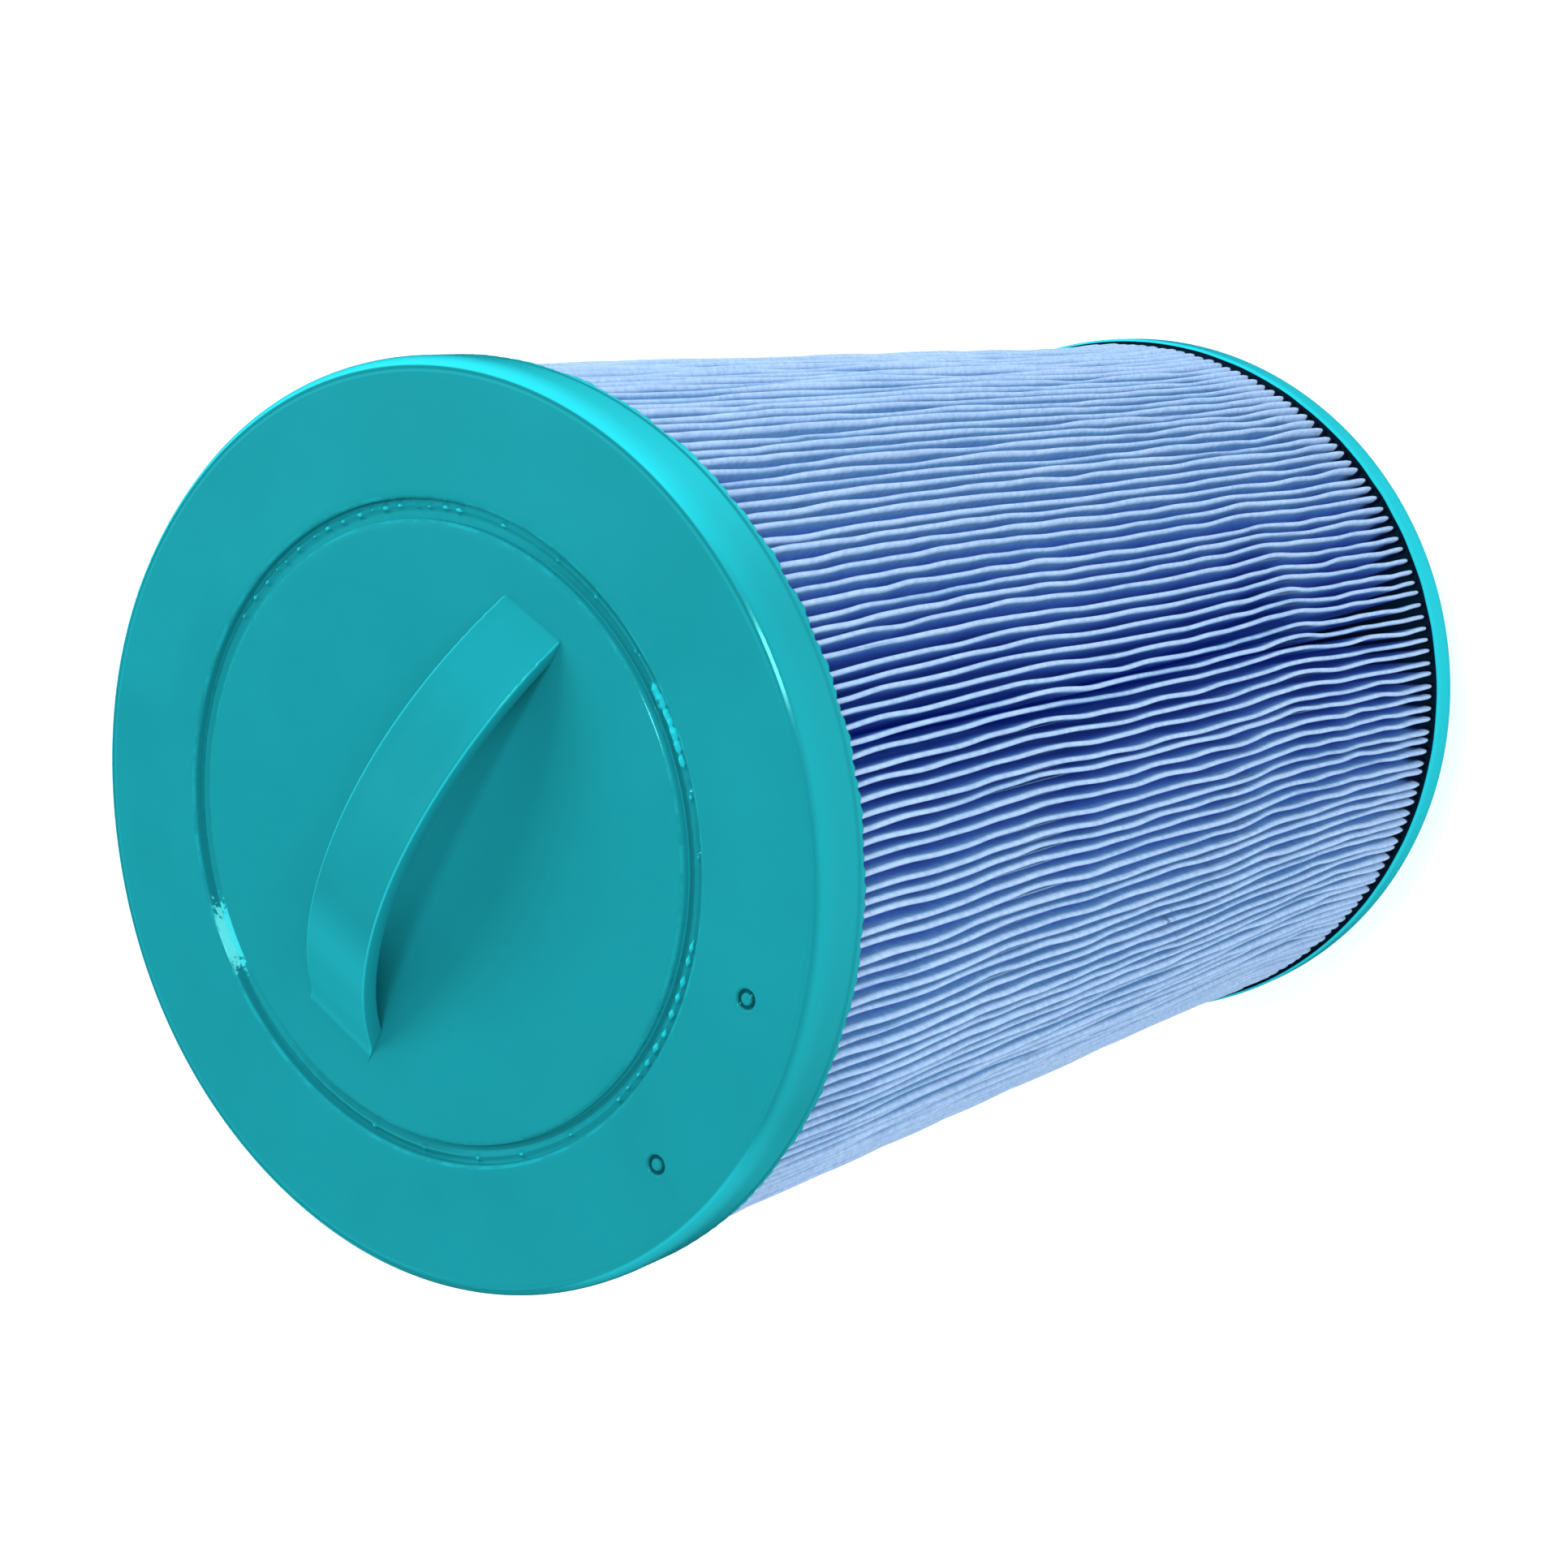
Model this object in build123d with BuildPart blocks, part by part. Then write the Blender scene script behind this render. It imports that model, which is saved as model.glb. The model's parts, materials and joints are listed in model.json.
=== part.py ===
"""Spa filter cartridge with a handle on top and a threaded outlet below.

Millimetres, +Z up along the axis. The origin is the middle of the outlet's lower end, so the part stands on it.
"""

import os
from math import cos, pi, sin

from build123d import *

# Overall sizes
CAP_RADIUS = 76.2  # 6 in cartridge
CAP_TO_CAP = 239.0  # between the outer faces of the two end caps
OUTLET_DROP = 27.0  # the threaded outlet, below the lower cap

BASE = OUTLET_DROP
TOP = BASE + CAP_TO_CAP

# Cast end caps
TOP_RIM = 11.2
TOP_FLOOR = 6.0
BOTTOM_RIM = 8.1
BOTTOM_FLOOR = 5.0
CAP_EDGE = 3.0
BOTTOM_EDGE = 1.6
SKIRT = 1.2
POTTING_GAP = 0.05  # between the fold ends and the cast floor

# Pleated media
PLEATS = 200
MEDIA_THICKNESS = 0.36
FOLD_RADIUS = CAP_RADIUS - SKIRT - 0.3
FOLD_HALF_WIDTH = 0.45  # half of one fold at its outer tip
ROOT_HALF_WIDTH = 0.40  # half of one fold where it rests on the core
MEDIA_BOTTOM = BASE + BOTTOM_FLOOR + POTTING_GAP
MEDIA_TOP = TOP - TOP_FLOOR - POTTING_GAP

# Perforated core
CORE_RADIUS = 27.5
CORE_WALL = 2.5
CORE_BORE = CORE_RADIUS - CORE_WALL
WINDOWS_AROUND = 12
WINDOW_ROWS = 8
WINDOW_WIDTH = 10.0
WINDOW_HEIGHT = 9.0
WINDOW_PITCH = 13.0
JOINT_LENGTH = 8.0
JOINT_WALL = 2.0
FIT = 0.15  # radial play where one moulding slides into another

# Handle plate
PLATE_RADIUS = 50.7
PLATE_THICKNESS = 4.1
FLANGE_RADIUS = 62.0
FLANGE_STEP = 1.6  # depth of the ring groove
GROOVE_RADIUS = 54.0
GROOVE_BEAD = 0.45
PLATE_SKIN = 2.5
PLATE_SPIGOT = 7.0

# Handle
HANDLE_SPAN = 84.0
HANDLE_RISE = 15.2
HANDLE_STRAP = 2.8
HANDLE_WAIST = 13.6
HANDLE_FOOT = 14.4
HANDLE_EDGE = 0.7

# Two round moulding marks on the upper cap
MARK_RADIUS = 1.45
MARK_LINE = 0.4
MARK_DEPTH = 0.3
MARK_PLACE = 64.8
MARK_ANGLES = (-74.6, -104.5)

# Threaded outlet
OUTLET_BORE = 20.0
THREAD_CREST = 24.1
THREAD_ROOT = 22.7
THREAD_PITCH = 4.2
THREAD_START = 4.6
THREAD_TURNS = 4
COLLAR_RADIUS = 26.0
COLLAR_HEIGHT = 3.0
ADAPTER_FLANGE = 38.0
ADAPTER_FLANGE_HEIGHT = 3.0
NOTCHES = 6
NOTCH_WIDTH = 7.0
NOTCH_DEPTH = 4.0
ADAPTER_SPIGOT = 14.0

# Ribbed spigots that centre the core, on the adapter and on the plate
SLEEVE_RADIUS = 22.6
SLEEVE_RIBS = 8
RIB_THICKNESS = 2.0

CORE_BOTTOM = BASE + BOTTOM_FLOOR
CORE_TOP = TOP - PLATE_THICKNESS
CORE_JOINT = (CORE_BOTTOM + CORE_TOP) / 2


def fold_outline(tip_radius, root_radius, tip_half, root_half):
    """The corners of every fold, as a closed zigzag with flat tips and flat roots."""
    corners = []
    for i in range(PLEATS):
        turn = 2 * pi * i / PLEATS
        for radius, across in (
            (root_radius, -root_half),
            (tip_radius, -tip_half),
            (tip_radius, tip_half),
            (root_radius, root_half),
        ):
            corners.append(
                (
                    radius * cos(turn) - across * sin(turn),
                    radius * sin(turn) + across * cos(turn),
                )
            )
    return corners


def make_media():
    """One strip of fabric folded into a closed zigzag."""
    root = CORE_RADIUS + FIT
    outer = fold_outline(
        FOLD_RADIUS, root + MEDIA_THICKNESS, FOLD_HALF_WIDTH, ROOT_HALF_WIDTH
    )
    inner = fold_outline(
        FOLD_RADIUS - MEDIA_THICKNESS,
        root,
        FOLD_HALF_WIDTH - MEDIA_THICKNESS,
        ROOT_HALF_WIDTH - MEDIA_THICKNESS,
    )
    with BuildPart() as media:
        with BuildSketch(Plane.XY.offset(MEDIA_BOTTOM)):
            with BuildLine():
                Polyline(*outer, close=True)
            make_face()
            with BuildLine():
                Polyline(*inner, close=True)
            make_face(mode=Mode.SUBTRACT)
        extrude(amount=MEDIA_TOP - MEDIA_BOTTOM)
    return media


def make_seam():
    """A flat bead of glue in the gap between two folds, along their whole length."""
    gap_turn = 180 / PLEATS
    outer_radius = FOLD_RADIUS - 3
    inner_radius = FOLD_RADIUS - 13

    def half_gap(radius):
        share = (radius - CORE_RADIUS) / (FOLD_RADIUS - CORE_RADIUS)
        fold = ROOT_HALF_WIDTH + share * (FOLD_HALF_WIDTH - ROOT_HALF_WIDTH)
        return radius * sin(pi / PLEATS) - fold - 0.03

    with BuildPart() as seam:
        with BuildSketch(Plane.XY.offset(MEDIA_BOTTOM).rotated((0, 0, gap_turn))):
            with BuildLine():
                Polyline(
                    (inner_radius, -half_gap(inner_radius)),
                    (outer_radius, -half_gap(outer_radius)),
                    (outer_radius, half_gap(outer_radius)),
                    (inner_radius, half_gap(inner_radius)),
                    close=True,
                )
            make_face()
        extrude(amount=MEDIA_TOP - MEDIA_BOTTOM)
    return seam


def make_core(bottom, top, joint):
    """A moulded cage: hoops and posts, with a spigot below where joint is true."""
    rows_height = (WINDOW_ROWS - 1) * WINDOW_PITCH
    with BuildPart() as core:
        with BuildSketch(Plane.XY.offset(bottom)):
            Circle(CORE_RADIUS)
            Circle(CORE_BORE, mode=Mode.SUBTRACT)
        extrude(amount=top - bottom)
        for row in range(WINDOW_ROWS):
            height = (bottom + top) / 2 - rows_height / 2 + row * WINDOW_PITCH
            with Locations((0, 0, height)):
                with PolarLocations(CORE_RADIUS - CORE_WALL / 2, WINDOWS_AROUND):
                    Box(3 * CORE_WALL, WINDOW_WIDTH, WINDOW_HEIGHT, mode=Mode.SUBTRACT)
        if joint:
            with BuildSketch(Plane.XY.offset(bottom + JOINT_LENGTH / 2)):
                Circle(CORE_BORE)
                Circle(CORE_BORE - JOINT_WALL, mode=Mode.SUBTRACT)
            extrude(amount=-JOINT_LENGTH / 2)
            with BuildSketch(Plane.XY.offset(bottom)):
                Circle(CORE_BORE - FIT)
                Circle(CORE_BORE - JOINT_WALL, mode=Mode.SUBTRACT)
            extrude(amount=-JOINT_LENGTH)
    return core


def make_spigot(bottom, top):
    """A sleeve with the outlet's bore and long ribs that reach the inside of the core."""
    with BuildPart() as spigot:
        with BuildSketch(Plane.XY.offset(bottom)):
            Circle(SLEEVE_RADIUS)
            with PolarLocations(0, SLEEVE_RIBS // 2, angular_range=180):
                Rectangle(2 * (CORE_BORE - FIT), RIB_THICKNESS)
            Circle(OUTLET_BORE, mode=Mode.SUBTRACT)
        extrude(amount=top - bottom)
    return spigot


def make_plate():
    """The moulded disc that the ring is cast around, with its arched strap."""
    underside = TOP - PLATE_THICKNESS
    with BuildPart() as plate:
        with BuildSketch(Plane.XY.offset(underside)):
            Circle(FLANGE_RADIUS)
        extrude(amount=PLATE_THICKNESS - FLANGE_STEP)
        with BuildSketch(Plane.XY.offset(underside)):
            Circle(PLATE_RADIUS)
        extrude(amount=PLATE_THICKNESS)
        fillet(plate.edges().group_by(Axis.Z)[-1], 0.5)

        # a low bead runs round the floor of the groove
        with BuildSketch(Plane.XZ):
            with Locations(((PLATE_RADIUS + GROOVE_RADIUS) / 2, TOP - FLANGE_STEP)):
                Circle(GROOVE_BEAD)
        revolve(axis=Axis.Z)

        # the strap, cut from an arch to a waisted outline
        arc_radius = ((HANDLE_SPAN / 2) ** 2 + HANDLE_RISE**2) / (2 * HANDLE_RISE)
        arc_centre = TOP + HANDLE_RISE - arc_radius
        with BuildPart(mode=Mode.PRIVATE) as strap:
            with BuildSketch(Plane.XZ):
                with Locations((0, arc_centre)):
                    Circle(arc_radius)
                    Circle(arc_radius - HANDLE_STRAP, mode=Mode.SUBTRACT)
                with Locations((0, TOP - PLATE_THICKNESS / 2)):
                    Rectangle(
                        2 * HANDLE_SPAN,
                        2 * HANDLE_SPAN,
                        align=(Align.CENTER, Align.MIN),
                        mode=Mode.INTERSECT,
                    )
            extrude(amount=HANDLE_FOOT, both=True)
            with BuildSketch(Plane.XY.offset(TOP - PLATE_THICKNESS)):
                with BuildLine():
                    reach = HANDLE_SPAN / 2 + 2
                    side = ThreePointArc(
                        (-reach, HANDLE_FOOT / 2),
                        (0, HANDLE_WAIST / 2),
                        (reach, HANDLE_FOOT / 2),
                    )
                    other = mirror(side, about=Plane.XZ)
                    Line(side @ 0, other @ 0)
                    Line(side @ 1, other @ 1)
                make_face()
            extrude(amount=HANDLE_SPAN, mode=Mode.INTERSECT)
            fillet(
                strap.edges().filter_by(GeomType.CIRCLE, reverse=True).filter_by(
                    lambda e: e.center().Z > TOP + HANDLE_RISE / 2
                ),
                HANDLE_EDGE,
            )
        add(strap.part)

        # the core's upper end goes round the spigot, and the disc is thinned inside it
        add(make_spigot(underside - PLATE_SPIGOT, underside).part)
        with BuildSketch(Plane.XY.offset(underside)):
            Circle(OUTLET_BORE)
        extrude(amount=PLATE_THICKNESS - PLATE_SKIN, mode=Mode.SUBTRACT)
    return plate


def make_top_cap():
    """The cast ring: it holds the plate's flange and pots the upper fold ends."""
    with BuildPart() as cap:
        with BuildSketch(Plane.XY.offset(TOP - TOP_RIM)):
            Circle(CAP_RADIUS)
        extrude(amount=TOP_RIM)
        fillet(cap.edges().group_by(Axis.Z)[-1], CAP_EDGE)
        with BuildSketch(Plane.XY.offset(TOP - TOP_RIM)):
            Circle(CAP_RADIUS - SKIRT)
        extrude(amount=TOP_RIM - TOP_FLOOR, mode=Mode.SUBTRACT)
        with BuildSketch(Plane.XY.offset(TOP - FLANGE_STEP)):
            Circle(GROOVE_RADIUS)
        extrude(amount=FLANGE_STEP, mode=Mode.SUBTRACT)
        with BuildSketch(Plane.XY.offset(TOP - PLATE_THICKNESS)):
            Circle(FLANGE_RADIUS)
        extrude(amount=PLATE_THICKNESS - FLANGE_STEP, mode=Mode.SUBTRACT)
        with BuildSketch(Plane.XY.offset(TOP - TOP_FLOOR)):
            Circle(CORE_RADIUS + 0.05)
        extrude(amount=TOP_FLOOR, mode=Mode.SUBTRACT)
        for angle in MARK_ANGLES:
            with BuildSketch(Plane.XY.offset(TOP)):
                with PolarLocations(MARK_PLACE, 1, start_angle=angle):
                    Circle(MARK_RADIUS)
                    Circle(MARK_RADIUS - MARK_LINE, mode=Mode.SUBTRACT)
            extrude(amount=-MARK_DEPTH, mode=Mode.SUBTRACT)
    return cap


def make_adapter():
    """Outlet fitting: threaded nipple, notched flange and a ribbed spigot in the core."""
    flange_bottom = CORE_BOTTOM - ADAPTER_FLANGE_HEIGHT
    with BuildPart() as adapter:
        with BuildSketch():
            Circle(THREAD_ROOT)
        extrude(amount=flange_bottom)
        chamfer(adapter.edges().group_by(Axis.Z)[0], 0.8)
        with BuildSketch(Plane.XY.offset(flange_bottom - COLLAR_HEIGHT)):
            Circle(COLLAR_RADIUS)
        extrude(amount=COLLAR_HEIGHT)
        with BuildSketch(Plane.XY.offset(flange_bottom)):
            Circle(ADAPTER_FLANGE)
            with PolarLocations(ADAPTER_FLANGE, NOTCHES):
                Rectangle(2 * NOTCH_DEPTH, NOTCH_WIDTH, mode=Mode.SUBTRACT)
        extrude(amount=ADAPTER_FLANGE_HEIGHT)
        add(make_spigot(CORE_BOTTOM, CORE_BOTTOM + ADAPTER_SPIGOT).part)

        # one rounded helical rib
        with BuildLine():
            helix = Helix(
                THREAD_PITCH,
                THREAD_PITCH * THREAD_TURNS,
                THREAD_ROOT - 0.2,
                center=(0, 0, THREAD_START),
            )
        with BuildSketch(Plane(origin=helix @ 0, x_dir=(1, 0, 0), z_dir=helix % 0)):
            with BuildLine():
                depth = THREAD_CREST - THREAD_ROOT + 0.2
                foot = THREAD_PITCH * 0.36
                crest = THREAD_PITCH * 0.14
                Polyline(
                    (0, -foot), (depth, -crest), (depth, crest), (0, foot), close=True
                )
            make_face()
        sweep(path=helix, is_frenet=True)

        with BuildSketch():
            Circle(OUTLET_BORE)
        extrude(amount=CORE_BOTTOM, mode=Mode.SUBTRACT)
    return adapter


def make_bottom_cap():
    """The cast disc: it holds the adapter's flange and pots the lower fold ends."""
    with BuildPart() as cap:
        with BuildSketch(Plane.XY.offset(BASE)):
            Circle(CAP_RADIUS)
        extrude(amount=BOTTOM_RIM)
        fillet(cap.edges().group_by(Axis.Z)[0], BOTTOM_EDGE)
        with BuildSketch(Plane.XY.offset(BASE + BOTTOM_FLOOR)):
            Circle(CAP_RADIUS - SKIRT)
        extrude(amount=BOTTOM_RIM - BOTTOM_FLOOR, mode=Mode.SUBTRACT)
        with BuildSketch(Plane.XY.offset(BASE)):
            Circle(COLLAR_RADIUS)
        extrude(amount=BOTTOM_FLOOR, mode=Mode.SUBTRACT)
        with BuildSketch(Plane.XY.offset(CORE_BOTTOM - ADAPTER_FLANGE_HEIGHT)):
            Circle(ADAPTER_FLANGE)
            with PolarLocations(ADAPTER_FLANGE, NOTCHES):
                Rectangle(2 * NOTCH_DEPTH, NOTCH_WIDTH, mode=Mode.SUBTRACT)
        extrude(amount=ADAPTER_FLANGE_HEIGHT, mode=Mode.SUBTRACT)
    return cap


pleated_media = make_media()
side_seam_bead = make_seam()
core_lower = make_core(CORE_BOTTOM, CORE_JOINT, joint=False)
core_upper = make_core(CORE_JOINT, CORE_TOP, joint=True)
handle_plate = make_plate()
top_end_cap = make_top_cap()
threaded_adapter = make_adapter()
bottom_end_cap = make_bottom_cap()

os.makedirs("parts", exist_ok=True)
for name, piece in (
    ("pleated_media", pleated_media),
    ("side_seam_bead", side_seam_bead),
    ("core_lower", core_lower),
    ("core_upper", core_upper),
    ("handle_plate", handle_plate),
    ("top_end_cap", top_end_cap),
    ("threaded_adapter", threaded_adapter),
    ("bottom_end_cap", bottom_end_cap),
):
    piece.part.label = name
    export_step(piece.part, f"parts/{name}.step")
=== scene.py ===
"""The looks of a spa filter cartridge: pleated fabric between two cast teal end caps.

Metres, in the frame's axes: +Z up along the cartridge, +X along the handle's strap.
"""

import json
import math

import bpy
import numpy as np
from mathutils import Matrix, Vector

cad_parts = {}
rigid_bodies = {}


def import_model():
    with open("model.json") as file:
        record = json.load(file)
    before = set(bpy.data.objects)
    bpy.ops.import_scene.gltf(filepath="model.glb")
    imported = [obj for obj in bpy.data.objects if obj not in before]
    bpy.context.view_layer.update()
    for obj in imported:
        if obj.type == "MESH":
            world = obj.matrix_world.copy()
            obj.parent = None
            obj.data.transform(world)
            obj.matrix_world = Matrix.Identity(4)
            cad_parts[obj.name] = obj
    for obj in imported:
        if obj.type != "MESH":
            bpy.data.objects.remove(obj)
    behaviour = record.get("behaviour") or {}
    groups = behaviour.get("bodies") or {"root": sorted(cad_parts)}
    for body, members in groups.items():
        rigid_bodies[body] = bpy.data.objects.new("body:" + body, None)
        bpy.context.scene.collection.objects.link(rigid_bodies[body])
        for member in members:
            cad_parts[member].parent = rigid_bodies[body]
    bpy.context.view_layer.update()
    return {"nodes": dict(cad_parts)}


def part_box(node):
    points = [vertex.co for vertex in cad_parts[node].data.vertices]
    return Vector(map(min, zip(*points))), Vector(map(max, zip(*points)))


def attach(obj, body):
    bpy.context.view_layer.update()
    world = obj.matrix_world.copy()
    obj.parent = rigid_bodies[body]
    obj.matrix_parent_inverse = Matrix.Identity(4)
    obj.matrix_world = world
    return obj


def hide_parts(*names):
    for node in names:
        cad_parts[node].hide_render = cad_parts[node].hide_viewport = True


MM = 0.001
TAU = 2 * math.pi

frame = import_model()

# ---------------------------------------------------------------- sizes, read from the frame
CAP_LOW, CAP_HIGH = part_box("top_end_cap")
FOOT_LOW, FOOT_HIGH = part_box("bottom_end_cap")
MEDIA_LOW, MEDIA_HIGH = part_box("pleated_media")
CORE_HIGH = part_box("core_upper")[1]
PLATE_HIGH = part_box("handle_plate")[1]

CAP_RADIUS = CAP_HIGH.x
TOP = CAP_HIGH.z
REAR = CAP_LOW.z
BASE = FOOT_LOW.z
FOOT_TOP = FOOT_HIGH.z
FOLD_RADIUS = MEDIA_HIGH.x
ROOT_RADIUS = CORE_HIGH.x + 0.15 * MM
FLANGE_RADIUS = PLATE_HIGH.x
HANDLE_RISE = PLATE_HIGH.z - TOP

# ---------------------------------------------------------------- sizes of the looks
# the fabric's folds
PLEATS = 200
PITCH_TURN = TAU / PLEATS
FOLD_HALF = 0.45 * MM
FABRIC = 0.36 * MM
MEDIA_ROWS = 78
INNER_STEP = 13  # rows of the fold's surface to one row of the slit inside it
SLIT_HALF = 0.04 * MM
# the section of a fold's tip: depth in millimetres, and place to the side in half-widths
TIP_SECTION = ((0.90, -1.0), (0.24, -0.76), (0.0, 0.0), (0.24, 0.76), (0.90, 1.0))
TIP_BACK = 0.45 * MM  # inside the media's radius
TIP_FLARE = 0.9 * MM  # outwards, in the lowest part of the folds
TIP_FLARE_HEIGHT = 26 * MM
TIP_TUCK = 1.2 * MM  # inwards, behind the lower cap's lip
SMUDGE_AZIMUTH = -80.6
SMUDGE_HEIGHT = 0.142

# the upper cap and the groove round the disc
SEGMENTS = PLEATS * 8
PLATE_RADIUS = 50.7 * MM
GROOVE_RADIUS = 54.0 * MM
GROOVE_DEPTH = 1.6 * MM
PLATE_THICKNESS = 4.1 * MM
PLATE_SKIN = 2.5 * MM
TOP_FLOOR = 6.0 * MM
CHAMFER = 0.5 * MM
CHAMFER_SLOPE = 0.60
CREEP_DEPTH = 0.42  # millimetres down between two folds
CREEP_RISE = 0.15  # and up over a fold's tip
EDGE_FLASH = 0.07 * MM
MARK_PLACE = 64.8 * MM
MARK_RADIUS = 1.30 * MM
MARK_DEPTH = 0.50 * MM
MARK_WIDTH = 0.36 * MM
MARK_LIP = (0.06 * MM, 0.7 * MM, 0.25 * MM)  # the lip outside it: height, distance and width
MARK_ANGLES = (-74.6, -104.5)
# a painted glint in the groove: where its middle is, and how ragged its edge is
GLINT_PAINT_AZIMUTH = 146.5
GLINT_PAINT_PLACE = 52.3 * MM
GLINT_PAINT_RAGGED = 2.4 * MM

# the bead of resin in the groove
BEAD_MIDDLE = 52.75 * MM
BEAD_RISE = 0.5 * MM
BEAD_STEP = 0.17 * MM
BEAD_UNEVEN = 0.02 * MM
STUD_REACH = 1.15 * MM  # to either side of the bead's middle
STUD_FADE = 0.2 * MM
# at three azimuths round the bead: the way a stud's broad face looks, and its steepness
STUD_PLACES = (-88, -34, 55)
STUD_FACINGS = (-25, -32, -40)
STUD_SLOPES = (0.70, 0.64, 0.75)
# first and last azimuth and the usual gap in degrees, least and greatest rise in millimetres
STUD_RUNS = (
    (24, 87, 3.6, 0.35, 0.65),
    (-104, -71, 3.2, 0.45, 0.80),
    (-40, -27, 1.9, 0.80, 1.20),
    (-56, 15, 12.0, 0.3, 0.5),
    (-165, -112, 12.0, 0.3, 0.5),
)

# the lower cap, and the fittings that the caps hold
FOOT_SEGMENTS = PLEATS * 4
FOOT_LIP = 0.55 * MM
FOOT_CREEP = 0.35 * MM
BOTTOM_FLOOR = 5.0 * MM
COLLAR_RADIUS = 26.0 * MM
ADAPTER_FLANGE = 38.0 * MM
ADAPTER_FLANGE_HEIGHT = 3.0 * MM
SPIGOT_LENGTH = 7.0 * MM
SPIGOT_RADIUS = 22.6 * MM
SPIGOT_RIBS = 8
BORE_RADIUS = 20.0 * MM
CORE_BORE = 25.0 * MM

# the handle's strap
HANDLE_SPAN = 84.0 * MM
HANDLE_STRAP = 2.8 * MM
HANDLE_WAIST = 13.8 * MM
HANDLE_LOW_FOOT = 15.8 * MM  # at -X
HANDLE_HIGH_FOOT = 12.8 * MM  # at +X
STRAP_SHARE = 0.981  # of the CAD strap's length
STRAP_SHIFT = 1.9 * MM  # towards +X
STRAP_SINK = 2.6 * MM  # into the disc
STRAP_STEPS = 150
STRAP_BLEND = 0.8 * MM  # where its -X foot melts into the disc
STRAP_SKIN = 1.2 * MM  # the part of its thickness that does so
STRAP_FLASH = 0.09 * MM

# ---------------------------------------------------------------- colours
TEAL = (0.0072, 0.234, 0.273)
MOULDED_SHADE = 0.99
# the painted glint in the groove: its middle and its outer edge
GLINT_PAINT_COLOUR = (0.045, 0.62, 0.68)
GLINT_PAINT_EDGE_COLOUR = (0.16, 0.76, 0.77)
# painted shadow, near black, inside the lower cap's seat under the folds
SEAT_SHADE_COLOUR = (0.006, 0.035, 0.070)
RESIN_GLOSS_TINT = (0.2, 1.0, 1.0, 1.0)
WHITE_PLASTIC = (0.74, 0.75, 0.73)
GLUE = (0.70, 0.72, 0.66)
# roughness and strength of the gloss
TEAL_GLOSS = (0.15, 0.30)
WHITE_GLOSS = (0.38, 0.4)
GLUE_GLOSS = (0.3, 0.4)
MATTE = (0.9, 0.1)
# the fabric, from its foot between two folds out to the tip: painted light and shade by depth,
# lighter deep down, pale at the tips
DEEP_BLUE = (0.32, 0.62, 1.0)
GAP_BLUE = (0.13, 0.31, 0.76)
WALL_BLUE = (0.145, 0.345, 0.64)
SHOULDER_BLUE = (0.165, 0.36, 0.62)
TIP_BLUE = (0.45, 0.65, 0.93)
END_BLUE = (0.010, 0.020, 0.075)  # in the shadow at the lower cap
SMUDGE_COLOUR = (0.07, 0.11, 0.24)
# a painted glow deep between the folds
DEEP_GLOW_COLOUR = (0.0, 0.09, 1.0, 1.0)
DEEP_GLOW_STRENGTH = 0.020
FLOOR_GREY = (0.55, 0.55, 0.55, 1)
FLOOR_GLOW = 0.60
FLOOR_HALF = 6.0


# ---------------------------------------------------------------- zones of the teal resin: painted light and shade
# A limit is (measure, start, full): a zone fades in as the measure goes from start to full.
# measures() says what each one is. They are in millimetres, and "wear" and "facing" in shares.
def within(measure, start, end, blur):
    """The two limits that keep a zone between start and end, with soft sides."""
    return (measure, start - blur, start), (measure, end + blur, end)


PIT = (("face", -0.08, -0.40), ("face", -3.0, -2.6))
GROOVE = (*PIT, ("mark", -5.0, -6.0))
CREST = (*GROOVE, ("face", -1.35, -1.15), *within("bead", -0.8, 0.8, 0.2))
PATCH = (*GROOVE, ("patch", 6.2, 5.0))
# where the painted edge highlights show: raised parts, broken up by noise
LIT_EDGE_BREAKUP = (("face", -0.6, -0.4), ("breakup", 0.42, 0.60))
# where the painted edge lines show: raised parts on the -Y side
EDGE_LINE_PLACES = (("face", -0.6, -0.4), ("y", -52.0, -30.0))
RIM = ("rim", -1.75, -1.35)
FOOT = ("lip", -60.0, -90.0)
STRAP = ("face", 0.10, 0.45)

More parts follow.
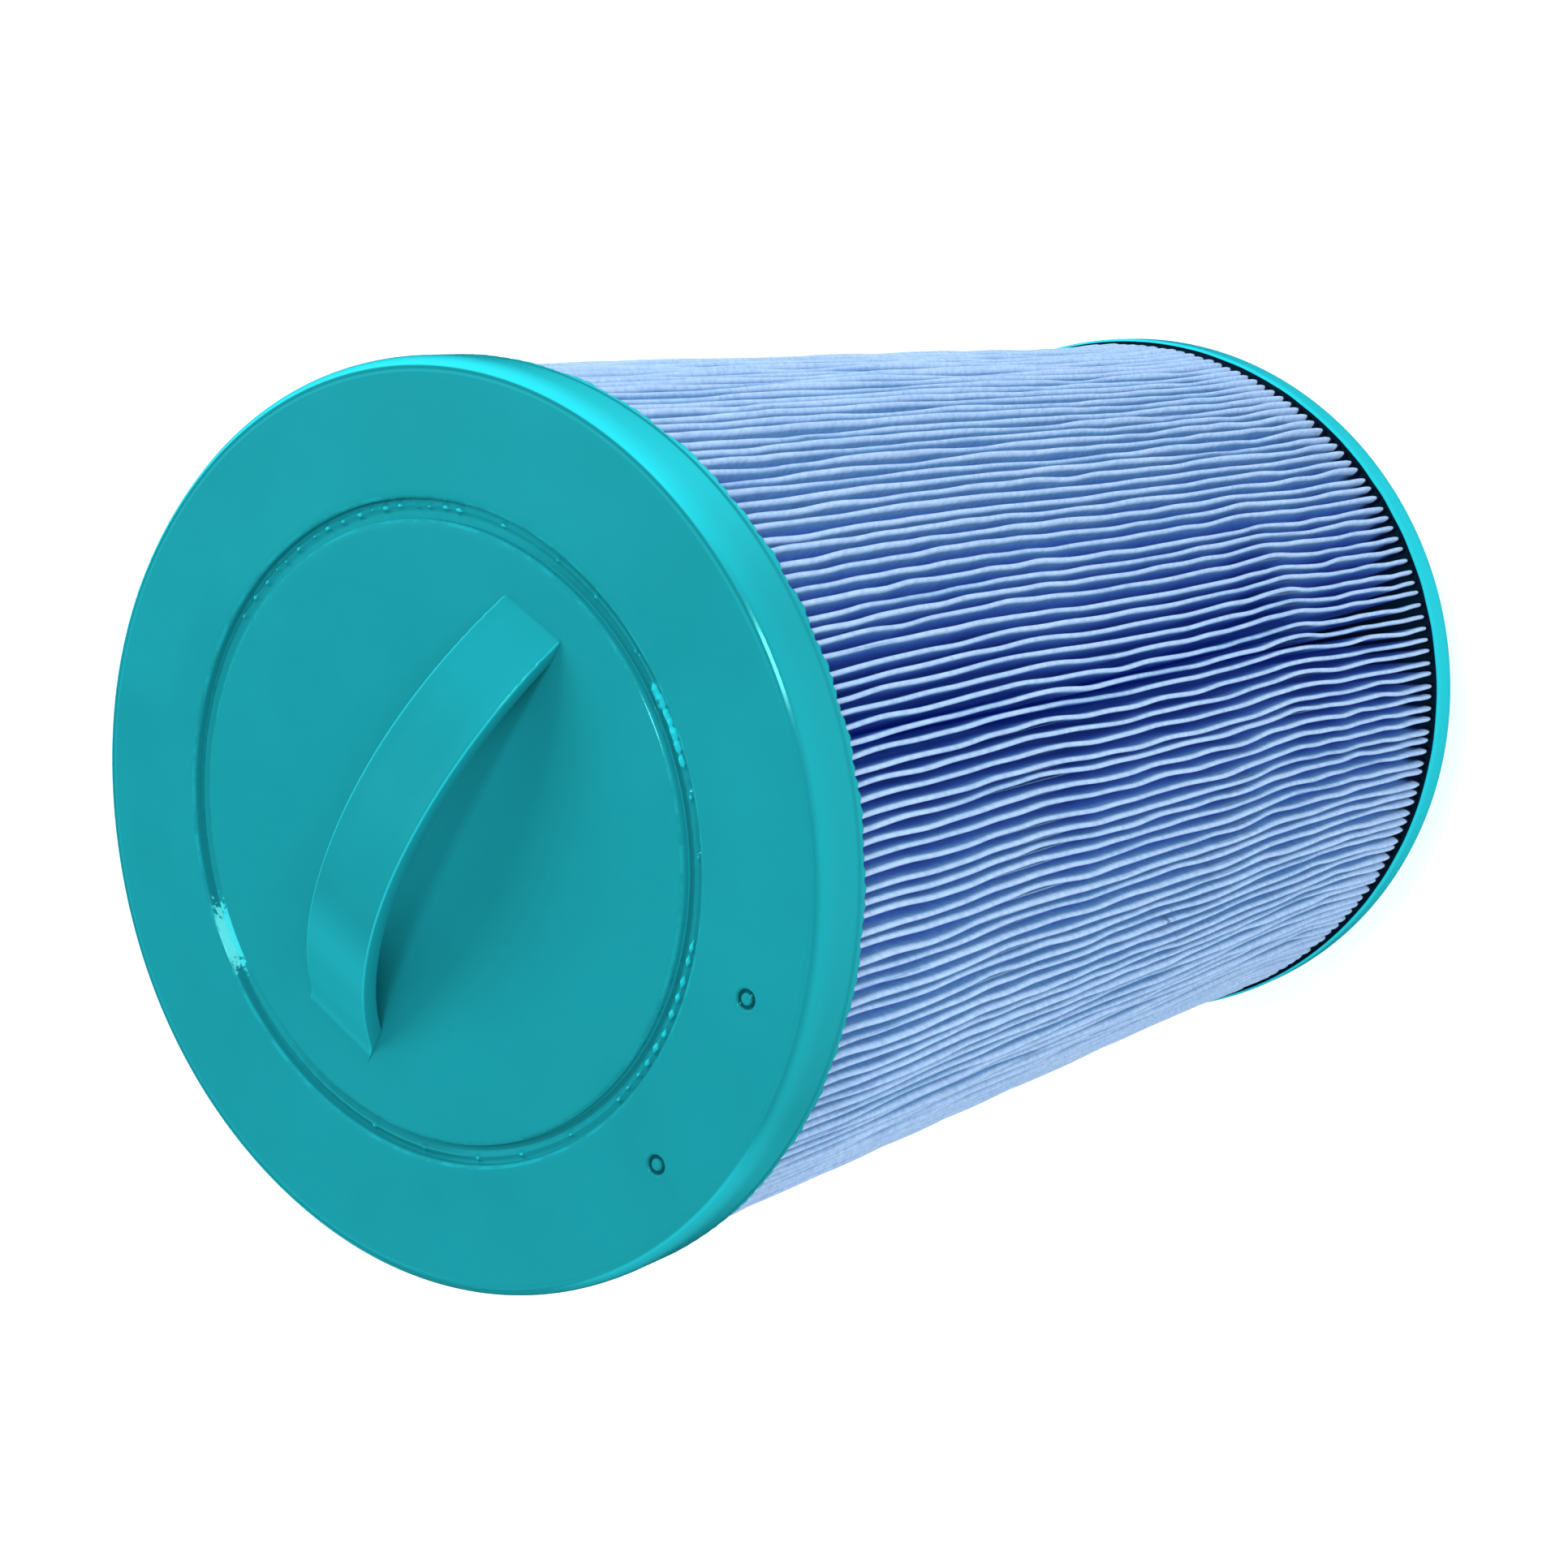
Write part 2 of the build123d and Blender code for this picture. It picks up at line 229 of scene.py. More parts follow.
# laid over each other in this order, each with its shade of the resin's colour, or a colour; every
# zone paints light or shade into the resin
PAINTED_SHADING_ZONES = (
    # painted light and shade in the groove: lighter walls, a darker floor, and lighter again on the
    # -Y and +Y sides
    ("groove walls, painted light", GROOVE, 1.22),
    ("groove floor, painted shade", (*GROOVE, ("disc", 0.1, 0.3), ("groove", 0.05, -0.15)), 0.80),
    ("groove, painted light, -Y side", (*GROOVE, ("disc", 0.9, 1.3), ("y", -24.0, -36.0)), 1.15),
    ("groove, painted light, +Y side", (*GROOVE, ("y", -6.0, 14.0)), 1.12),
    # painted highlights: the bead's crest a little lighter, and its stud tips much lighter as
    # glints
    ("bead", CREST, 1.05),
    ("stud tips, painted glints", (*CREST, ("face", -1.05, -0.75)), 2.3),
    # a painted glint across the groove, white-cyan at its outer edge
    ("painted glint", PATCH, GLINT_PAINT_COLOUR),
    ("painted glint's edge", (*PATCH, ("groove", -0.9, -0.4)), GLINT_PAINT_EDGE_COLOUR),
    # painted highlights along the disc's and the ring's edges, broken up by noise
    ("disc edge, painted highlight", (*within("disc", -0.4, 0.0, 0.15), *LIT_EDGE_BREAKUP), 1.28),
    ("ring edge, painted highlight", (*within("groove", 0.1, 0.5, 0.15), *LIT_EDGE_BREAKUP), 1.28),
    # painted shade in the two pressed ring marks
    ("marks", (*PIT, *within("mark", -5.0, 5.0, 1.0)), 0.30),
    # painted light on the caps' sides: lighter than the face, and much lighter on the +Y side and
    # on part of the -Y side
    ("rim", (("rim", -1.5, -0.6),), 1.48),
    ("rim, +Y side", (RIM, ("y", -38.0, -6.0)), 2.4),
    ("rim, -Y side", (RIM, ("x", 6.0, -12.0), ("x", -52.0, -36.0), ("y", -44.0, -54.0)), 1.95),
    # painted light: the lower cap is made much lighter overall than the upper cap
    ("lower cap", (FOOT,), 2.6),
    # painted shadow inside the lower cap's seat, where the folds end
    ("lower cap's seat", (FOOT, ("rim", -0.45, -0.65), ("seat", -0.6, -0.2)), SEAT_SHADE_COLOUR),
    # painted light: a lighter band over the lip at the back of the upper cap
    ("lip band, painted light", (("lip", 0.95, 1.2), ("lip", 2.1, 1.8)), 1.25),
    # painted highlight and painted shade: a pale and a dark line inside the rim's front edge, on
    # the -Y side
    ("edge line, painted highlight", (*within("rim", -2.49, -2.21, 0.2), *EDGE_LINE_PLACES), 1.16),
    ("edge line, painted shade", (*within("rim", -1.94, -1.66, 0.2), *EDGE_LINE_PLACES), 0.84),
    # painted light on the strap: lighter ends, a lighter -X end and lighter sides, and painted
    # highlights along its edges
    ("strap ends", (STRAP, ("radius", 20.0, 37.0)), 1.22),
    ("strap, -X end", (STRAP, ("x", -10.0, -24.0), ("x", -46.0, -36.0)), 1.5),
    ("strap sides", (STRAP, ("facing", 0.86, 0.97)), 1.45),
    ("strap edges", (STRAP, *within("facing", 0.34, 0.80, 0.12)), 2.0),
)

# ---------------------------------------------------------------- camera and lights
CAMERA_PLACE = Vector((0.22631, -0.21006, 0.58975))
CAMERA_TURN = (-9.870, 35.127, -58.717)
CAMERA_LENS = 63.63
CAMERA_SENSOR = 36.0
CAMERA_FAR = 50

# name, azimuth and elevation in degrees, distance, width and height in metres, watts, mirrored
LIGHTS = (
    ("soft_key", 97, 44, 1.3, 0.8, 0.8, 11.5, False),
    ("soft_left", 172, 38, 1.4, 1.0, 1.0, 2.7, False),
    ("soft_front", -43, 42, 1.6, 0.42, 1.4, 12.5, False),
    ("soft_upper", 75, 10, 1.5, 1.0, 0.6, 10, False),
    ("soft_lower", -138, 10, 1.5, 0.8, 0.6, 1.5, False),
    ("strip", -18, 60, 1.0, 0.16, 0.10, 3.0, True),
)
LIGHT_AIM = Vector((0, 0, 0.22))
WORLD_STRENGTH = 0.385


def add_camera():
    data = bpy.data.cameras.new("camera")
    data.lens = CAMERA_LENS
    data.sensor_width = CAMERA_SENSOR
    data.clip_end = CAMERA_FAR
    camera = bpy.data.objects.new("camera", data)
    camera.location = CAMERA_PLACE
    camera.rotation_euler = [math.radians(a) for a in CAMERA_TURN]
    bpy.context.collection.objects.link(camera)
    bpy.context.scene.camera = camera


# ---------------------------------------------------------------- mesh helpers
def new_mesh(name, verts, faces, smooth=True, sharp_deg=None):
    mesh = bpy.data.meshes.new(name)
    mesh.from_pydata([tuple(v) for v in verts], [], faces)
    mesh.validate()
    mesh.polygons.foreach_set("use_smooth", [smooth] * len(mesh.polygons))
    if sharp_deg:
        mesh.set_sharp_from_angle(angle=math.radians(sharp_deg))
    piece = bpy.data.objects.new(name, mesh)
    bpy.context.collection.objects.link(piece)
    return piece


def waves(seed, count, around, along, strength):
    """Random waves as (turns round, turns along, phase, strength). strength is their total rms."""
    rng = np.random.default_rng(seed)
    made = []
    for _ in range(count):
        turns_round = int(rng.integers(*around)) * int(rng.choice((-1, 1)))
        turns_along = rng.uniform(*along)
        phase = rng.uniform(0, TAU)
        share = rng.uniform(0.7, 1.3) * math.sqrt(2 / count)
        made.append((turns_round, turns_along, phase, strength * share))
    return made


def wave_sum(made, turn, height):
    total = np.zeros(np.broadcast(turn, height).shape)
    for turns_round, turns_along, phase, strength in made:
        total += strength * np.sin(turns_round * turn + TAU * turns_along * height + phase)
    return total


def spread(value, start, end):
    """0 before start, 1 after end and smooth between."""
    share = np.clip((value - start) / (end - start), 0, 1)
    return share * share * (3 - 2 * share)


def arc(centre_r, centre_z, radius, start, end, steps):
    """Points of a rounded corner in a turned section, angles in degrees from outwards to up."""
    angles = np.radians(np.linspace(start, end, steps))
    return [(centre_r + radius * math.cos(a), centre_z + radius * math.sin(a)) for a in angles]


def offsets(radius, height, *steps):
    """Points of a turned section, in millimetres from the given radius and height."""
    return [(radius + out * MM, height + up * MM) for out, up in steps]


def bend(start, pull, end, steps):
    """Points of a curve from start to end, drawn towards pull."""
    t = np.linspace(0, 1, steps)[:, None]
    start, pull, end = np.array(start), np.array(pull), np.array(end)
    return [tuple(p) for p in (1 - t) ** 2 * start + 2 * t * (1 - t) * pull + t**2 * end]


def turned(name, section, segments, change=None, sharp_deg=None):
    """A section of (radius, height) points turned round the axis.

    A section that starts and ends on the axis is closed there by fans, and any other is a loop.
    change(turn, r, z) bends the points.
    """
    section = np.array(section)
    on_axis = section[0, 0] == 0 and section[-1, 0] == 0
    body = section[1:-1] if on_axis else section
    turn = np.arange(segments) * TAU / segments
    r = np.repeat(body[:, 0][None, :], segments, 0)
    z = np.repeat(body[:, 1][None, :], segments, 0)
    if change:
        r, z = change(turn[:, None], r, z)
    cos, sin = np.cos(turn)[:, None], np.sin(turn)[:, None]
    xyz = np.stack([r * cos, r * sin, z], -1).reshape(-1, 3)
    count = len(body)
    faces = []
    last = count - 1 if on_axis else count
    for i in range(segments):
        here, there = i * count, (i + 1) % segments * count
        for j in range(last):
            k = (j + 1) % count
            faces.append((here + j, here + k, there + k, there + j))
    if on_axis:
        first, final = len(xyz), len(xyz) + 1
        xyz = np.concatenate([xyz, [[0, 0, section[0, 1]], [0, 0, section[-1, 1]]]])
        for i in range(segments):
            here, there = i * count, (i + 1) % segments * count
            faces.append((first, here, there))
            faces.append((final, there + count - 1, here + count - 1))
    return new_mesh(name, xyz, faces, sharp_deg=sharp_deg)


def box_shell(centre_turn, inner, outer, half, low, high):
    """The eight corners and six faces of a rib that runs outwards from the axis."""
    c, s = math.cos(centre_turn), math.sin(centre_turn)
    corners = []
    for z in (low, high):
        for r, side in ((inner, -half), (outer, -half), (outer, half), (inner, half)):
            corners.append((r * c - side * s, r * s + side * c, z))
    faces = [(3, 2, 1, 0), (4, 5, 6, 7)]
    faces += [(i, (i + 1) % 4, (i + 1) % 4 + 4, i + 4) for i in range(4)]
    return corners, faces


# ---------------------------------------------------------------- pleated media
# Strengths are in fold pitches, and TIP_RISE's in millimetres. The long waves pass through many
# folds together, and the crowded ones give each fold its own place.
LEAN = waves(110, 5, (1, 5), (0, 0.01), 0.50)
LONG = waves(12, 7, (1, 4), (0.5, 2.2), 0.12)
MIDDLE = waves(13, 8, (1, 4), (2.4, 4.8), 0.060)
SHORT = waves(14, 9, (2, 8), (5.0, 8.5), 0.027)
FINE = waves(15, 12, (3, 12), (9.0, 18.0), 0.017)
LOOSE = waves(19, 40, (30, 99), (1.0, 12.0), 0.040)
CROWD = waves(16, 26, (30, 99), (0.0, 0.9), 0.062)
CROWD_AT_CAPS = waves(17, 26, (40, 99), (0.0, 0.2), 0.045)
TIP_RISE = waves(18, 24, (10, 99), (0.2, 5.0), 0.20)


def fold_wander(turn, height):
    """How far a fold's tip strays round the cartridge, in pitches. height runs from 0 to 1."""
    from_end = np.minimum(height, 1 - height)
    hold = spread(from_end, 0.0, 0.06)
    at_cap = 1 - spread(from_end, 0.04, 0.22)
    lean = wave_sum(LEAN, turn, height) * (height - 0.5)
    swept = wave_sum(LONG, turn, height) + wave_sum(MIDDLE, turn, height)
    rippled = wave_sum(SHORT, turn, height) + wave_sum(FINE, turn, height)
    rippled += wave_sum(LOOSE, turn, height)
    own = wave_sum(CROWD, turn, height) + wave_sum(CROWD_AT_CAPS, turn, height) * at_cap
    return lean + swept + rippled * hold + own


def upright(columns, heights):
    """The points of upright lines, each given as a radius and a turn at every height."""
    return np.stack([np.stack([r * np.cos(t), r * np.sin(t), heights], -1) for r, t in columns], 1)


def make_pleats():
    """The folded strip: every fold has a rounded tip and thin walls that lean and wave together."""
    low, high = MEDIA_LOW.z, MEDIA_HIGH.z
    height = np.linspace(0, 1, MEDIA_ROWS + 1)
    base_turn = np.arange(PLEATS) * PITCH_TURN
    turn_grid, height_grid = np.meshgrid(base_turn, height, indexing="ij")
    z_grid = low + (high - low) * height_grid
    wander = fold_wander(turn_grid, height_grid) * PITCH_TURN

    # tips spread outwards over the lower cap's thin lip and tuck in under the upper cap
    rise = np.clip(wave_sum(TIP_RISE, turn_grid, height_grid), -0.5, 0.42) * MM
    flare = 1 - spread(z_grid, FOOT_TOP + 1 * MM, FOOT_TOP + TIP_FLARE_HEIGHT)
    inside_lip = 1 - spread(z_grid, FOOT_TOP - 1.6 * MM, FOOT_TOP + 0.6 * MM)
    tip = FOLD_RADIUS - TIP_BACK + rise * (1 - 0.7 * flare)
    tip += TIP_FLARE * flare - TIP_TUCK * inside_lip
    tuck = spread(z_grid, REAR - 3 * MM, REAR + 2 * MM)
    tip = tip * (1 - tuck) + np.minimum(tip, FOLD_RADIUS - 0.3 * MM) * tuck

    # a fold's outer surface: the foot it shares with the fold before, then the points of its tip
    root = np.full_like(tip, ROOT_RADIUS + FABRIC)
    columns = [(root, turn_grid - PITCH_TURN / 2)]
    for depth, side in TIP_SECTION:
        radius = tip - depth * MM
        columns.append((radius, turn_grid + wander + side * FOLD_HALF / radius))
    count = len(columns)
    verts = upright(columns, z_grid).reshape(-1, 3)
    rows = MEDIA_ROWS + 1
    faces = []
    for i in range(PLEATS * count):
        a, b = i * rows, (i + 1) % (PLEATS * count) * rows
        faces += [(a + k, b + k, b + k + 1, a + k + 1) for k in range(MEDIA_ROWS)]

    # the slit up the middle of each fold, which follows the fold in longer steps
    slit = SLIT_HALF / ROOT_RADIUS
    pick = slice(None, None, INNER_STEP)
    low_root = np.full_like(tip, ROOT_RADIUS)
    inner_columns = [
        (low_root[:, pick], turn_grid[:, pick] - slit),
        (tip[:, pick] - FABRIC, turn_grid[:, pick] + wander[:, pick]),
        (low_root[:, pick], turn_grid[:, pick] + slit),
    ]
    inner_xyz = upright(inner_columns, z_grid[:, pick])
    inner_rows = inner_xyz.shape[2]
    shift = len(verts)
    verts = np.concatenate([verts, inner_xyz.reshape(-1, 3)])
    for i in range(PLEATS * 3):
        a = shift + i * inner_rows
        b = shift + (i + 1) % (PLEATS * 3) * inner_rows
        faces += [(b + k, a + k, a + k + 1, b + k + 1) for k in range(inner_rows - 1)]

    # close the strip's two cut ends
    for at_top in (False, True):
        row = rows - 1 if at_top else 0
        inner_row = shift + (inner_rows - 1 if at_top else 0)
        for fold in range(PLEATS):
            o = [(fold * count + p) % (PLEATS * count) * rows + row for p in range(count + 1)]
            n = [(fold * 3 + p) % (PLEATS * 3) * inner_rows + inner_row for p in range(4)]
            ends = [
                (o[0], o[1], n[0]),
                (o[1], o[2], n[1], n[0]),
                (o[2], o[3], n[1]),
                (o[3], o[4], n[1]),
                (o[4], o[5], n[2], n[1]),
                (o[5], o[6], n[2]),
                (o[6], n[3], n[2]),
            ]
            faces += ends if at_top else [tuple(reversed(f)) for f in ends]
    return new_mesh("pleats", verts, faces, sharp_deg=86)


# ---------------------------------------------------------------- cast caps
RIM_CREEP = waves(21, 14, (8, 70), (0, 0.01), 0.20)
CAST_SAG = waves(22, 10, (2, 9), (0, 0.01), 0.05)
EDGE_FRET = waves(23, 30, (60, 420), (0, 0.01), 1.0)
EDGE_PATCH = waves(24, 6, (2, 9), (0, 0.01), 1.0)


def make_top_cap():
    """The cast ring: crisp face edge, rounded shoulder and a lip that creeps between the folds."""
    side = CAP_RADIUS
    inner = FOLD_RADIUS + 0.2 * MM
    section = [(GROOVE_RADIUS, TOP - GROOVE_DEPTH), (GROOVE_RADIUS, TOP - 0.8 * MM)]
    edge_start = len(section)
    section += offsets(GROOVE_RADIUS, TOP, (0, -0.34), (0.03, -0.27), (0.40, -0.03), (0.50, 0))
    edge_end = len(section)
    section += [(GROOVE_RADIUS + 1.5 * MM, TOP)]
    # close points across the marks
    section += [(MARK_PLACE + step * 0.16 * MM, TOP) for step in range(-14, 15)]
    section += offsets(side, TOP, (-2.6, 0), (-2.3, 0), (-2.1, -0.05), (-1.9, -0.01))
    for share in (0, 0.08, 0.5, 0.92, 1):
        out, down = share * CHAMFER, share * CHAMFER * CHAMFER_SLOPE
        section.append((side - 1.60 * MM + out, TOP - 0.02 * MM - down))
    section += bend(*offsets(side, TOP, (-1.0, -0.44), (0, -1.4), (0, -4.4)), 9)
    section += offsets(side, REAR, (0, 2.6), (-0.03, 2.0), (-0.14, 1.5), (-0.03, 1.0))
    lip_start = len(section)
    section += arc(side - 0.45 * MM, REAR + 0.42 * MM, 0.45 * MM, 20, -90, 5)
    section += offsets(inner, REAR, (-0.1, -0.1), (-1.5, -0.1))
    lip_end = len(section)
    section += [(inner - 2.6 * MM, REAR + 0.5 * MM), (inner - 2.8 * MM, TOP - TOP_FLOOR)]
    core = CORE_HIGH.x + 0.1 * MM
    section += [(core, TOP - TOP_FLOOR), (core, TOP - PLATE_THICKNESS)]
    section += [(FLANGE_RADIUS, TOP - PLATE_THICKNESS), (FLANGE_RADIUS, TOP - GROOVE_DEPTH)]
    rear_share = (REAR - MEDIA_LOW.z) / (MEDIA_HIGH.z - MEDIA_LOW.z)
    lip_rise, lip_out, lip_width = MARK_LIP

    def shape(turn, r, z):
        fold = turn / PITCH_TURN - fold_wander(turn, np.full_like(turn, rear_share))
        between = 0.5 - 0.5 * np.cos(TAU * fold)
        drop = (CREEP_DEPTH * between - CREEP_RISE + wave_sum(RIM_CREEP, turn, 0)) * MM
        share = np.zeros_like(r)
        share[:, lip_start:lip_end] = 1.0
        share[:, lip_start - 2 : lip_start] = (0.15, 0.4)
        z = z - np.clip(drop, -0.5 * MM, 0.8 * MM) * share
        sag = wave_sum(CAST_SAG, turn, 0) * MM * (share == 0) * (z > TOP - MM)
        sag = sag * spread(r, GROOVE_RADIUS, GROOVE_RADIUS + 4 * MM)
        # flash along the groove's edge, in a few places
        fret = wave_sum(EDGE_FRET, turn, 0) * np.clip(wave_sum(EDGE_PATCH, turn, 0) - 0.4, 0, 1)
        r[:, edge_start:edge_end] -= np.clip(fret, -0.3, 1.0) * EDGE_FLASH
        # two ring marks pressed into the face
        for angle in MARK_ANGLES:
            place = math.radians(angle)
            across = r * np.sin(turn - place)
            outwards = r * np.cos(turn - place) - MARK_PLACE
            off = np.hypot(across, outwards) - MARK_RADIUS
            near = (z > TOP - MM) & (np.abs(outwards) < 4 * MM)
            z = z - near * MARK_DEPTH * np.exp(-((off / MARK_WIDTH) ** 4))
            z = z + near * lip_rise * np.exp(-(((off - lip_out) / lip_width) ** 2))
        return r, z + sag

    return turned("cast_ring", section, SEGMENTS, shape, sharp_deg=50)


def make_foot():
    """The lower cast cap: a smooth rim with a thin lip that the fold tips lie against."""
    side = CAP_RADIUS
    floor = BASE + BOTTOM_FLOOR
    section = [(COLLAR_RADIUS, BASE), (COLLAR_RADIUS, floor - ADAPTER_FLANGE_HEIGHT)]
    section += [(ADAPTER_FLANGE, floor - ADAPTER_FLANGE_HEIGHT), (ADAPTER_FLANGE, floor)]
    section += offsets(side, floor, (-4.0, 0), (-3.4, 0.2), (-1.3, 0.9))
    section += [(side - FOOT_LIP - 0.15 * MM, floor + 1.5 * MM)]
    top_start = len(section)
    section += arc(side - FOOT_LIP + 0.12 * MM, FOOT_TOP - 0.16 * MM, 0.16 * MM, 180, 60, 5)
    section += offsets(side, FOOT_TOP, (-0.16, -0.18), (-0.03, -0.7))
    top_end = len(section)
    section += [(side, FOOT_TOP - 1.5 * MM), (side, BASE + 3.4 * MM)]
    section += bend(*offsets(side, BASE, (0, 2.4), (0, 0), (-2.4, 0)), 8)
    section += [(side - 6 * MM, BASE), (COLLAR_RADIUS + 8 * MM, BASE)]

    def shape(turn, r, z):
        z[:, top_start:top_end] += wave_sum(RIM_CREEP, turn, 0) * FOOT_CREEP
        return r, z

    return turned("cast_foot", section, FOOT_SEGMENTS, shape, sharp_deg=50)


# ---------------------------------------------------------------- handle plate
BEAD_WAVES = waves(31, 30, (20, 160), (0, 0.01), 1.0)
STRAP_FRET = waves(32, 26, (30, 260), (0, 0.01), 1.0)


def studs(turn, r):
    """Small four-sided studs left along the bead, each with one face towards the light."""
    rng = np.random.default_rng(33)
    total = np.zeros(np.broadcast(turn, r).shape)
    for first, last, gap, least, greatest in STUD_RUNS:
        place = first
        while place < last:
            at = math.radians(place)
            middle = BEAD_MIDDLE + rng.uniform(-0.25, 0.45) * MM
            facing = math.radians(np.interp(place, STUD_PLACES, STUD_FACINGS) + rng.uniform(-5, 5))
            slope = np.interp(place, STUD_PLACES, STUD_SLOPES)
            rise = rng.uniform(least, greatest) * MM
            x = r * np.cos(turn) - middle * math.cos(at)
            y = r * np.sin(turn) - middle * math.sin(at)
            ahead = x * math.cos(facing) + y * math.sin(facing)
            aside = y * math.cos(facing) - x * math.sin(facing)
            stud = rise - slope * np.maximum(np.abs(ahead), np.abs(aside))
            total = np.maximum(total, stud)
            place += gap * rng.uniform(0.7, 1.3)
    return total * np.clip((STUD_REACH - np.abs(r - BEAD_MIDDLE)) / STUD_FADE, 0, 1)


def make_disc():
    """The moulded disc, its grooved flange with a roof-shaped bead, and the spigot below."""
    groove_floor = TOP - GROOVE_DEPTH
    underside = TOP - PLATE_THICKNESS
    section = [(0, TOP), (20 * MM, TOP), (40 * MM, TOP), (PLATE_RADIUS - 1.2 * MM, TOP)]
    rim_start = len(section)
    section += offsets(PLATE_RADIUS, TOP, (-0.55, 0), (-0.45, -0.03), (-0.06, -0.28), (0, -0.36))
    rim_end = len(section)
    section += offsets(PLATE_RADIUS, groove_floor, (0, 0.15), (0.15, 0))
    bead_start = len(section)
    for step in range(-7, 8):
        rise = max(0.0, 1 - abs(step) / 4.5) * BEAD_RISE
        section.append((BEAD_MIDDLE + step * BEAD_STEP, groove_floor + rise))
    bead_end = len(section)
    section += [(FLANGE_RADIUS, groove_floor), (FLANGE_RADIUS, underside)]
    section += [(SPIGOT_RADIUS, underside), (SPIGOT_RADIUS, underside - SPIGOT_LENGTH)]
    section += [(BORE_RADIUS, underside - SPIGOT_LENGTH), (BORE_RADIUS, TOP - PLATE_SKIN)]
    section += [(0, TOP - PLATE_SKIN)]

    def shape(turn, r, z):
        # r and z hold the section without its first and last points, which lie on the axis
        bead = slice(bead_start - 1, bead_end - 1)
        z[:, bead] += wave_sum(BEAD_WAVES, turn, 0) * BEAD_UNEVEN
        z[:, bead] += studs(turn, r[:, bead])
        rim = slice(rim_start - 1, rim_end - 1)
        fret = wave_sum(EDGE_FRET, turn + 1.0, 0) * np.clip(wave_sum(EDGE_PATCH, turn + 2, 0), 0, 1)
        r[:, rim] += np.clip(fret, -0.3, 0.8) * EDGE_FLASH
        return r, z

    return turned("handle_disc", section, SEGMENTS, shape, sharp_deg=38)


def strap_points(half, fret):
    """Across and outwards places round the strap's section, with a fine lip along both edges."""
    edge, lower = 0.42 * MM, 0.3 * MM
    lip = 0.05 * MM + fret
    points = [(0, 0.03 * MM), (half * 0.5, 0.01 * MM), (half - 1.3 * MM, -0.01 * MM)]
    points += [(half - 0.75 * MM, lip)]
    for turn in (0, 0.5, 1.05, 1.57):
        points.append((half - edge + edge * math.sin(turn), lip - edge + edge * math.cos(turn)))
    points += [(half, -HANDLE_STRAP + lower), (half - lower * 0.3, -HANDLE_STRAP + lower * 0.3)]
    points += [(half - lower, -HANDLE_STRAP)]
    mirrored = [(-a, n) for a, n in reversed(points[1:])]
    return points + [(0, -HANDLE_STRAP)] + mirrored


def make_strap():
    """The arched strap: waisted, fused smoothly into the disc at its -X foot and crisply at +X."""
    reach = HANDLE_SPAN / 2
    radius = (reach**2 + HANDLE_RISE**2) / (2 * HANDLE_RISE)
    centre = TOP + HANDLE_RISE - radius
    last = math.acos((TOP - STRAP_SINK - centre) / radius)
    verts, faces = [], []
    for step in range(STRAP_STEPS + 1):
        turn = -last + 2 * last * step / STRAP_STEPS
        x_middle = radius * math.sin(turn)
        share = x_middle / (reach + 2 * MM)
        foot = HANDLE_LOW_FOOT if share < 0 else HANDLE_HIGH_FOOT
        half = HANDLE_WAIST / 2 + (foot - HANDLE_WAIST) / 2 * share**2
        near_foot = float(spread(x_middle, reach - 16 * MM, reach - 3 * MM))
        wave = float(wave_sum(STRAP_FRET, turn, 0))
        fret = max(wave, -0.5) * STRAP_FLASH * near_foot
        ring = strap_points(half, fret)
        for across, out in ring:
            x = (radius + out) * math.sin(turn)
            z = centre + (radius + out) * math.cos(turn)
            if out > -STRAP_SKIN and x < 0:
                # smoothly no lower than the face; the limit keeps exp from overflowing
                z = TOP + STRAP_BLEND * math.log1p(math.exp(min((z - TOP) / STRAP_BLEND, 60)))
            verts.append((x * STRAP_SHARE + STRAP_SHIFT, across, z))
    count = len(ring)
    for step in range(STRAP_STEPS):
        for j in range(count):
            k = (j + 1) % count
            a, b = step * count, (step + 1) * count
            faces.append((a + k, a + j, b + j, b + k))
    faces.append(tuple(range(count)))
    faces.append(tuple(reversed(range(STRAP_STEPS * count, (STRAP_STEPS + 1) * count))))
    return new_mesh("handle_strap", verts, faces, sharp_deg=60)


def make_handle_plate():
    """The disc, its spigot's ribs and the strap, as one moulding."""
    disc = make_disc()
    strap = make_strap()
    high = TOP - PLATE_THICKNESS
    low = high - SPIGOT_LENGTH
    inner, outer = BORE_RADIUS + MM, CORE_BORE - 0.15 * MM
    verts, faces = [], []
    for rib in range(SPIGOT_RIBS):
        turn = rib * TAU / SPIGOT_RIBS
        corners, sides = box_shell(turn, inner, outer, MM, low, high)
        faces += [tuple(len(verts) + i for i in side) for side in sides]
        verts += corners
    ribs = new_mesh("ribs", verts, faces, smooth=False)
    for piece in bpy.context.view_layer.objects:
        piece.select_set(piece in (disc, strap, ribs))
    bpy.context.view_layer.objects.active = disc
    bpy.ops.object.join()
    return disc


# ---------------------------------------------------------------- materials
def material(name):
    mat = bpy.data.materials.new(name)
    mat.use_nodes = True
    return mat, mat.node_tree, mat.node_tree.nodes["Principled BSDF"]


def node(tree, kind, **values):
    made = tree.nodes.new(kind)
    for key, value in values.items():
        if key in made.inputs:
            made.inputs[key].default_value = value
        else:
            setattr(made, key, value)
    return made


def object_place(tree):
    return node(tree, "ShaderNodeTexCoord").outputs["Object"]


def noise_node(tree, scale, detail=4.0, rough=0.5):
    made = node(tree, "ShaderNodeTexNoise", Scale=scale, Detail=detail, Roughness=rough)
    tree.links.new(object_place(tree), made.inputs["Vector"])
    return made.outputs["Fac"]


